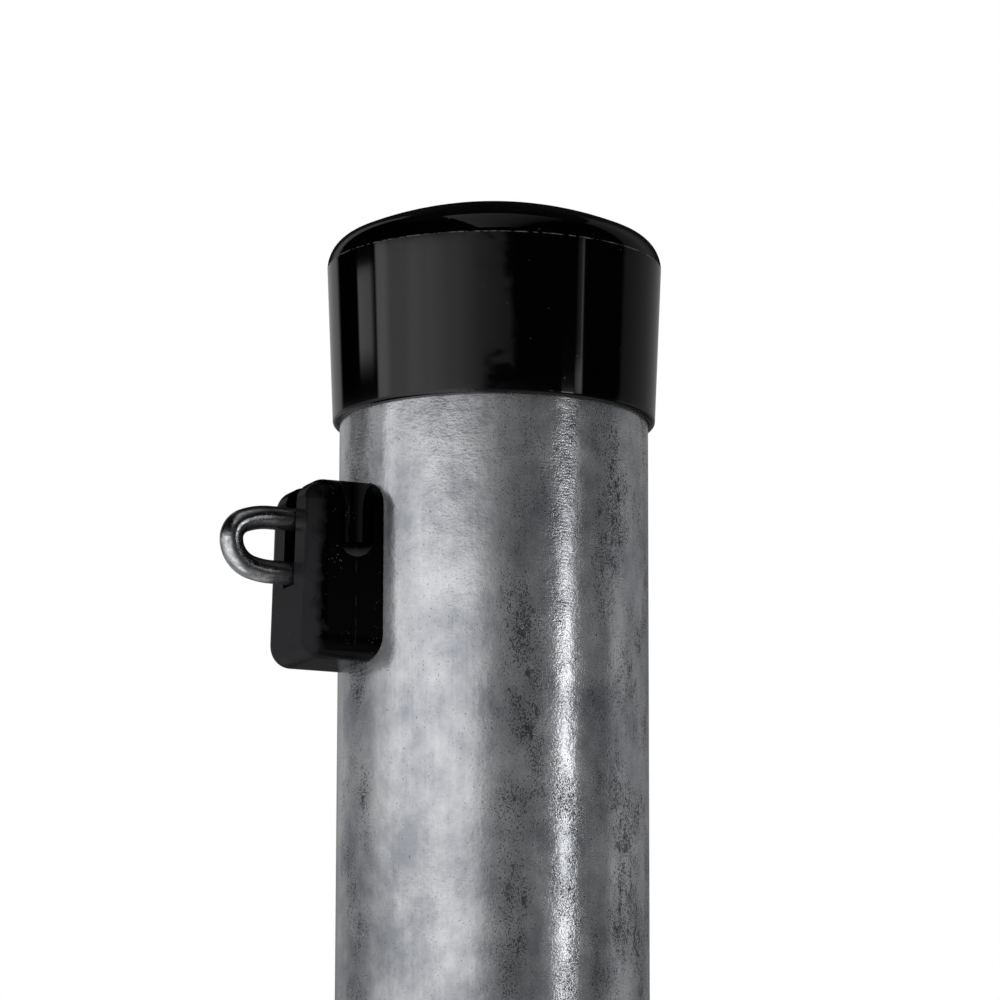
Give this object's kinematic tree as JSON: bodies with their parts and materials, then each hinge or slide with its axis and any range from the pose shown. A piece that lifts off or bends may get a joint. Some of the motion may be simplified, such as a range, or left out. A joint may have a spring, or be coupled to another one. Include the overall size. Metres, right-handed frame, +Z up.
{
  "type": "metal fence post",
  "caption": "Round galvanised steel fence post with a black moulded cap and black wire clips, each with a bent steel eye for a tension wire.",
  "frame": {"origin": "on the tube's axis at its foot, where the post is set in the ground", "axes": "+Z up the post, X along the fence and its tension wires, -Y the side that the clips face"},
  "size_m": [0.0522, 0.0714, 2.0079],
  "materials": {
    "galvanised_steel": "hot-dip galvanised, mottled",
    "cap_plastic": "gloss black",
    "clip_plastic": "satin black, scuffed",
    "eye_steel": "dark zinc, scratched"
  },
  "bodies": {
    "root": {"post_tube": "galvanised_steel", "post_cap": "cap_plastic", "wire_clip_top": "clip_plastic", "wire_clip_middle": "clip_plastic", "wire_clip_bottom": "clip_plastic", "wire_eye_top": "eye_steel", "wire_eye_middle": "eye_steel", "wire_eye_bottom": "eye_steel"}
  },
  "joints": []
}
